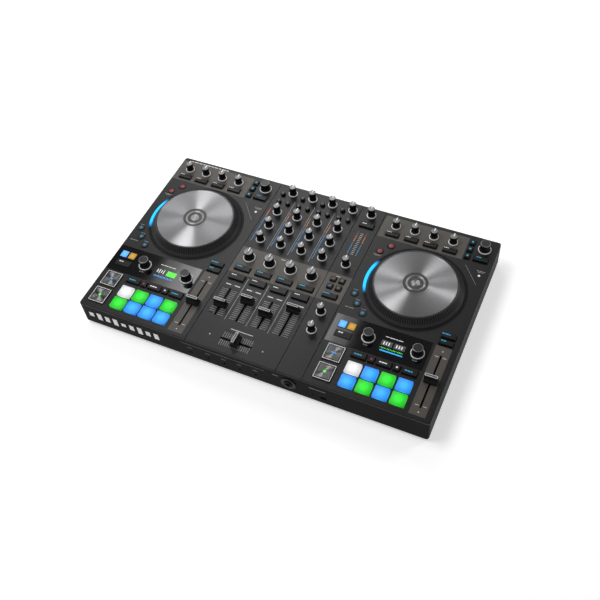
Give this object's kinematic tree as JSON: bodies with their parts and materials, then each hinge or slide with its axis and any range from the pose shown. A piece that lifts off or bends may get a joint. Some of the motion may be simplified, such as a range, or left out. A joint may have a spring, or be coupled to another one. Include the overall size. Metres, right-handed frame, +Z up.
{
  "type": "dj controller",
  "caption": "Slim desktop DJ controller: motorised jog decks with pads, displays and tempo faders either side of a mixer with channel faders, crossfader and rotary controls.",
  "frame": {"origin": "centre of the bounding box on the surface that the feet stand on", "axes": "+X to the right along the width, +Y to the rear where the sockets are, +Z up"},
  "size_m": [0.526, 0.3308, 0.0622],
  "materials": {
    "case_plastic": "satin charcoal",
    "panel": "satin charcoal, fine texture",
    "cover_metal": "matt black powder coat",
    "window": "polished black, lit from below",
    "board": "solder mask",
    "steel": "zinc plated",
    "foot_rubber": "matt",
    "socket": "black moulding",
    "control_metal": "plain",
    "spun_metal": "spun, dark anodised",
    "knob": "soft satin black",
    "fader_cap": "satin black with a light line",
    "key": "lit key, satin",
    "pad": "translucent silicone, lit",
    "transport": "spun metal look with a lit centre"
  },
  "bodies": {
    "chassis": {"upper_housing": "case_plastic", "bottom_cover": "cover_metal", "top_faceplates": "panel", "windows_and_light_guides": "window", "circuit_boards": "board", "case_screws": "steel", "rubber_feet": "foot_rubber", "audio_sockets": "socket", "control_bodies": "control_metal"},
    "jog_wheel_left": {"jog_wheel_left": "spun_metal"},
    "jog_wheel_right": {"jog_wheel_right": "spun_metal"},
    "crossfader": {"crossfader": "fader_cap"},
    "tempo_fader_left": {"tempo_fader_left": "fader_cap"},
    "tempo_fader_right": {"tempo_fader_right": "fader_cap"},
    "channel_fader_1": {"channel_fader_1": "fader_cap"},
    "channel_fader_2": {"channel_fader_2": "fader_cap"},
    "channel_fader_3": {"channel_fader_3": "fader_cap"},
    "channel_fader_4": {"channel_fader_4": "fader_cap"},
    "performance_pads": {"performance_pads": "pad"},
    "transport_buttons": {"transport_buttons": "transport"},
    "deck_keys": {"deck_keys": "key"},
    "mixer_keys": {"mixer_keys": "key"},
    "filter_knob_1": {"filter_knob_1": "knob"},
    "filter_knob_2": {"filter_knob_2": "knob"},
    "filter_knob_3": {"filter_knob_3": "knob"},
    "filter_knob_4": {"filter_knob_4": "knob"},
    "browse_encoder_left": {"browse_encoder_left": "knob"},
    "browse_encoder_right": {"browse_encoder_right": "knob"},
    "loop_move_encoder_left": {"loop_move_encoder_left": "knob"},
    "loop_move_encoder_right": {"loop_move_encoder_right": "knob"},
    "loop_size_encoder_left": {"loop_size_encoder_left": "knob"},
    "loop_size_encoder_right": {"loop_size_encoder_right": "knob"},
    "booth_level_knob": {"booth_level_knob": "knob"},
    "cue_level_knob": {"cue_level_knob": "knob"},
    "cue_mix_knob": {"cue_mix_knob": "knob"},
    "main_level_knob": {"main_level_knob": "knob"},
    "fx_knob_left_1": {"fx_knob_left_1": "knob"},
    "fx_knob_left_2": {"fx_knob_left_2": "knob"},
    "fx_knob_left_3": {"fx_knob_left_3": "knob"},
    "fx_knob_left_4": {"fx_knob_left_4": "knob"},
    "fx_knob_right_1": {"fx_knob_right_1": "knob"},
    "fx_knob_right_2": {"fx_knob_right_2": "knob"},
    "fx_knob_right_3": {"fx_knob_right_3": "knob"},
    "fx_knob_right_4": {"fx_knob_right_4": "knob"},
    "gain_knob_1": {"gain_knob_1": "knob"},
    "gain_knob_2": {"gain_knob_2": "knob"},
    "gain_knob_3": {"gain_knob_3": "knob"},
    "gain_knob_4": {"gain_knob_4": "knob"},
    "high_knob_1": {"high_knob_1": "knob"},
    "high_knob_2": {"high_knob_2": "knob"},
    "high_knob_3": {"high_knob_3": "knob"},
    "high_knob_4": {"high_knob_4": "knob"},
    "low_knob_1": {"low_knob_1": "knob"},
    "low_knob_2": {"low_knob_2": "knob"},
    "low_knob_3": {"low_knob_3": "knob"},
    "low_knob_4": {"low_knob_4": "knob"},
    "mid_knob_1": {"mid_knob_1": "knob"},
    "mid_knob_2": {"mid_knob_2": "knob"},
    "mid_knob_3": {"mid_knob_3": "knob"},
    "mid_knob_4": {"mid_knob_4": "knob"}
  },
  "joints": [
    {"name": "jog_turn_left", "type": "hinge", "parent": "chassis", "child": "jog_wheel_left", "pos_m": [-0.177, 0.03235, 0.046], "axis": [0, 0, -1], "continuous": true},
    {"name": "jog_turn_right", "type": "hinge", "parent": "chassis", "child": "jog_wheel_right", "pos_m": [0.1745, 0.03235, 0.046], "axis": [0, 0, -1], "continuous": true},
    {"name": "crossfader_slide", "type": "slide", "parent": "chassis", "child": "crossfader", "axis": [1, 0, 0], "range_m": [-0.02, 0.02]},
    {"name": "tempo_slide_left", "type": "slide", "parent": "chassis", "child": "tempo_fader_left", "axis": [0, 1, 0], "range_m": [-0.038, 0.038]},
    {"name": "tempo_slide_right", "type": "slide", "parent": "chassis", "child": "tempo_fader_right", "axis": [0, 1, 0], "range_m": [-0.038, 0.038]},
    {"name": "channel_slide_1", "type": "slide", "parent": "chassis", "child": "channel_fader_1", "axis": [0, 1, 0], "range_m": [-0.0155, 0.0285]},
    {"name": "channel_slide_2", "type": "slide", "parent": "chassis", "child": "channel_fader_2", "axis": [0, 1, 0], "range_m": [-0.0342, 0.0098]},
    {"name": "channel_slide_3", "type": "slide", "parent": "chassis", "child": "channel_fader_3", "axis": [0, 1, 0], "range_m": [-0.0224, 0.0216]},
    {"name": "channel_slide_4", "type": "slide", "parent": "chassis", "child": "channel_fader_4", "axis": [0, 1, 0], "range_m": [-0.0435, 0.0005]},
    {"name": "performance_pads_press", "type": "slide", "parent": "chassis", "child": "performance_pads", "axis": [0, 0, 1], "range_m": [-0.001, 0], "stiffness_N_per_m": 800, "springref_m": 0.003},
    {"name": "transport_buttons_press", "type": "slide", "parent": "chassis", "child": "transport_buttons", "axis": [0, 0, 1], "range_m": [-0.001, 0], "stiffness_N_per_m": 800, "springref_m": 0.003},
    {"name": "deck_keys_press", "type": "slide", "parent": "chassis", "child": "deck_keys", "axis": [0, 0, 1], "range_m": [-0.001, 0], "stiffness_N_per_m": 800, "springref_m": 0.003},
    {"name": "mixer_keys_press", "type": "slide", "parent": "chassis", "child": "mixer_keys", "axis": [0, 0, 1], "range_m": [-0.001, 0], "stiffness_N_per_m": 800, "springref_m": 0.003},
    {"name": "filter_knob_1_turn", "type": "hinge", "parent": "chassis", "child": "filter_knob_1", "pos_m": [-0.0695, -0.00085, 0.046], "axis": [0, 0, -1], "range_deg": [-150, 150]},
    {"name": "filter_knob_2_turn", "type": "hinge", "parent": "chassis", "child": "filter_knob_2", "pos_m": [-0.0362, -0.00085, 0.046], "axis": [0, 0, -1], "range_deg": [-150, 150]},
    {"name": "filter_knob_3_turn", "type": "hinge", "parent": "chassis", "child": "filter_knob_3", "pos_m": [-0.0029, -0.00085, 0.046], "axis": [0, 0, -1], "range_deg": [-150, 150]},
    {"name": "filter_knob_4_turn", "type": "hinge", "parent": "chassis", "child": "filter_knob_4", "pos_m": [0.0304, -0.00085, 0.046], "axis": [0, 0, -1], "range_deg": [-150, 150]},
    {"name": "browse_encoder_left_turn", "type": "hinge", "parent": "chassis", "child": "browse_encoder_left", "pos_m": [-0.1077, 0.13465, 0.046], "axis": [0, 0, -1], "continuous": true},
    {"name": "browse_encoder_right_turn", "type": "hinge", "parent": "chassis", "child": "browse_encoder_right", "pos_m": [0.2438, 0.13465, 0.046], "axis": [0, 0, -1], "continuous": true},
    {"name": "loop_move_encoder_left_turn", "type": "hinge", "parent": "chassis", "child": "loop_move_encoder_left", "pos_m": [-0.2075, -0.06945, 0.046], "axis": [0, 0, -1], "continuous": true},
    {"name": "loop_move_encoder_right_turn", "type": "hinge", "parent": "chassis", "child": "loop_move_encoder_right", "pos_m": [0.144, -0.06945, 0.046], "axis": [0, 0, -1], "continuous": true},
    {"name": "loop_size_encoder_left_turn", "type": "hinge", "parent": "chassis", "child": "loop_size_encoder_left", "pos_m": [-0.138, -0.06945, 0.046], "axis": [0, 0, -1], "continuous": true},
    {"name": "loop_size_encoder_right_turn", "type": "hinge", "parent": "chassis", "child": "loop_size_encoder_right", "pos_m": [0.2135, -0.06945, 0.046], "axis": [0, 0, -1], "continuous": true},
    {"name": "booth_level_knob_turn", "type": "hinge", "parent": "chassis", "child": "booth_level_knob", "pos_m": [0.0675, 0.03735, 0.046], "axis": [0, 0, -1], "range_deg": [-150, 150]},
    {"name": "cue_level_knob_turn", "type": "hinge", "parent": "chassis", "child": "cue_level_knob", "pos_m": [0.0675, -0.08615, 0.046], "axis": [0, 0, -1], "range_deg": [-150, 150]},
    {"name": "cue_mix_knob_turn", "type": "hinge", "parent": "chassis", "child": "cue_mix_knob", "pos_m": [0.0675, -0.05345, 0.046], "axis": [0, 0, -1], "range_deg": [-150, 150]},
    {"name": "main_level_knob_turn", "type": "hinge", "parent": "chassis", "child": "main_level_knob", "pos_m": [0.0675, 0.13985, 0.046], "axis": [0, 0, -1], "range_deg": [-150, 150]},
    {"name": "fx_knob_left_1_turn", "type": "hinge", "parent": "chassis", "child": "fx_knob_left_1", "pos_m": [-0.2418, 0.13215, 0.046], "axis": [0, 0, -1], "range_deg": [-150, 150]},
    {"name": "fx_knob_left_2_turn", "type": "hinge", "parent": "chassis", "child": "fx_knob_left_2", "pos_m": [-0.2125, 0.13215, 0.046], "axis": [0, 0, -1], "range_deg": [-150, 150]},
    {"name": "fx_knob_left_3_turn", "type": "hinge", "parent": "chassis", "child": "fx_knob_left_3", "pos_m": [-0.1832, 0.13215, 0.046], "axis": [0, 0, -1], "range_deg": [-150, 150]},
    {"name": "fx_knob_left_4_turn", "type": "hinge", "parent": "chassis", "child": "fx_knob_left_4", "pos_m": [-0.1539, 0.13215, 0.046], "axis": [0, 0, -1], "range_deg": [-150, 150]},
    {"name": "fx_knob_right_1_turn", "type": "hinge", "parent": "chassis", "child": "fx_knob_right_1", "pos_m": [0.1097, 0.13215, 0.046], "axis": [0, 0, -1], "range_deg": [-150, 150]},
    {"name": "fx_knob_right_2_turn", "type": "hinge", "parent": "chassis", "child": "fx_knob_right_2", "pos_m": [0.139, 0.13215, 0.046], "axis": [0, 0, -1], "range_deg": [-150, 150]},
    {"name": "fx_knob_right_3_turn", "type": "hinge", "parent": "chassis", "child": "fx_knob_right_3", "pos_m": [0.1683, 0.13215, 0.046], "axis": [0, 0, -1], "range_deg": [-150, 150]},
    {"name": "fx_knob_right_4_turn", "type": "hinge", "parent": "chassis", "child": "fx_knob_right_4", "pos_m": [0.1976, 0.13215, 0.046], "axis": [0, 0, -1], "range_deg": [-150, 150]},
    {"name": "gain_knob_1_turn", "type": "hinge", "parent": "chassis", "child": "gain_knob_1", "pos_m": [-0.0625, 0.13985, 0.046], "axis": [0, 0, -1], "range_deg": [-150, 150]},
    {"name": "gain_knob_2_turn", "type": "hinge", "parent": "chassis", "child": "gain_knob_2", "pos_m": [-0.0292, 0.13985, 0.046], "axis": [0, 0, -1], "range_deg": [-150, 150]},
    {"name": "gain_knob_3_turn", "type": "hinge", "parent": "chassis", "child": "gain_knob_3", "pos_m": [0.0041, 0.13985, 0.046], "axis": [0, 0, -1], "range_deg": [-150, 150]},
    {"name": "gain_knob_4_turn", "type": "hinge", "parent": "chassis", "child": "gain_knob_4", "pos_m": [0.0374, 0.13985, 0.046], "axis": [0, 0, -1], "range_deg": [-150, 150]},
    {"name": "high_knob_1_turn", "type": "hinge", "parent": "chassis", "child": "high_knob_1", "pos_m": [-0.0695, 0.09615, 0.046], "axis": [0, 0, -1], "range_deg": [-150, 150]},
    {"name": "high_knob_2_turn", "type": "hinge", "parent": "chassis", "child": "high_knob_2", "pos_m": [-0.0362, 0.09615, 0.046], "axis": [0, 0, -1], "range_deg": [-150, 150]},
    {"name": "high_knob_3_turn", "type": "hinge", "parent": "chassis", "child": "high_knob_3", "pos_m": [-0.0029, 0.09615, 0.046], "axis": [0, 0, -1], "range_deg": [-150, 150]},
    {"name": "high_knob_4_turn", "type": "hinge", "parent": "chassis", "child": "high_knob_4", "pos_m": [0.0304, 0.09615, 0.046], "axis": [0, 0, -1], "range_deg": [-150, 150]},
    {"name": "low_knob_1_turn", "type": "hinge", "parent": "chassis", "child": "low_knob_1", "pos_m": [-0.0695, 0.03715, 0.046], "axis": [0, 0, -1], "range_deg": [-150, 150]},
    {"name": "low_knob_2_turn", "type": "hinge", "parent": "chassis", "child": "low_knob_2", "pos_m": [-0.0362, 0.03715, 0.046], "axis": [0, 0, -1], "range_deg": [-150, 150]},
    {"name": "low_knob_3_turn", "type": "hinge", "parent": "chassis", "child": "low_knob_3", "pos_m": [-0.0029, 0.03715, 0.046], "axis": [0, 0, -1], "range_deg": [-150, 150]},
    {"name": "low_knob_4_turn", "type": "hinge", "parent": "chassis", "child": "low_knob_4", "pos_m": [0.0304, 0.03715, 0.046], "axis": [0, 0, -1], "range_deg": [-150, 150]},
    {"name": "mid_knob_1_turn", "type": "hinge", "parent": "chassis", "child": "mid_knob_1", "pos_m": [-0.0695, 0.06655, 0.046], "axis": [0, 0, -1], "range_deg": [-150, 150]},
    {"name": "mid_knob_2_turn", "type": "hinge", "parent": "chassis", "child": "mid_knob_2", "pos_m": [-0.0362, 0.06655, 0.046], "axis": [0, 0, -1], "range_deg": [-150, 150]},
    {"name": "mid_knob_3_turn", "type": "hinge", "parent": "chassis", "child": "mid_knob_3", "pos_m": [-0.0029, 0.06655, 0.046], "axis": [0, 0, -1], "range_deg": [-150, 150]},
    {"name": "mid_knob_4_turn", "type": "hinge", "parent": "chassis", "child": "mid_knob_4", "pos_m": [0.0304, 0.06655, 0.046], "axis": [0, 0, -1], "range_deg": [-150, 150]}
  ]
}
